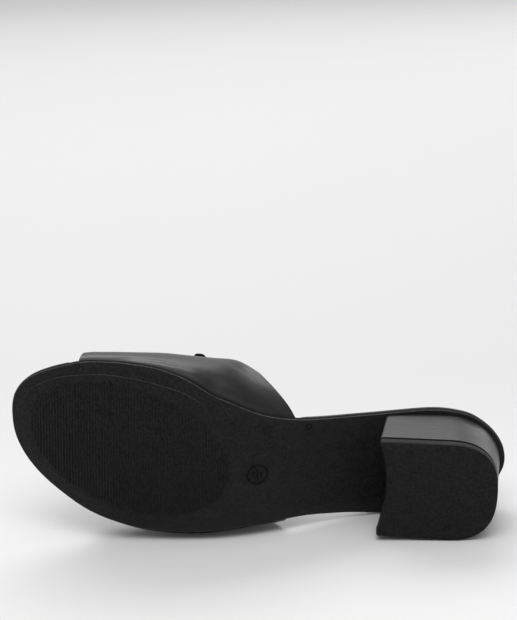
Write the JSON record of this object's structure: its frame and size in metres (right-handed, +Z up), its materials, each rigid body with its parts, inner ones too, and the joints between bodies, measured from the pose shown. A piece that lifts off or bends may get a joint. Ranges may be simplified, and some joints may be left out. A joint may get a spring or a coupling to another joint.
{
  "type": "block heel mule",
  "caption": "Open-toe mule on a block heel, lying on its outer side: outsole, insole, heel block, top piece and one wide vamp.",
  "frame": {"origin": "bottom centre of the bounding box, on the floor that the shoe lies on", "axes": "+Z up from the floor, the toe at -X, the heel at +X, the sole facing -Y and the foot's side +Y"},
  "size_m": [0.2462, 0.0664, 0.0976],
  "materials": {
    "outsole": "matte moulded",
    "insole": "smooth lining",
    "heel_block": "satin covering",
    "top_piece": "matte moulded",
    "vamp": "soft satin"
  },
  "bodies": {
    "root": {"outsole": "outsole", "insole": "insole", "heel_block": "heel_block", "top_piece": "top_piece", "vamp": "vamp", "vamp_pleat": "vamp"}
  },
  "joints": []
}
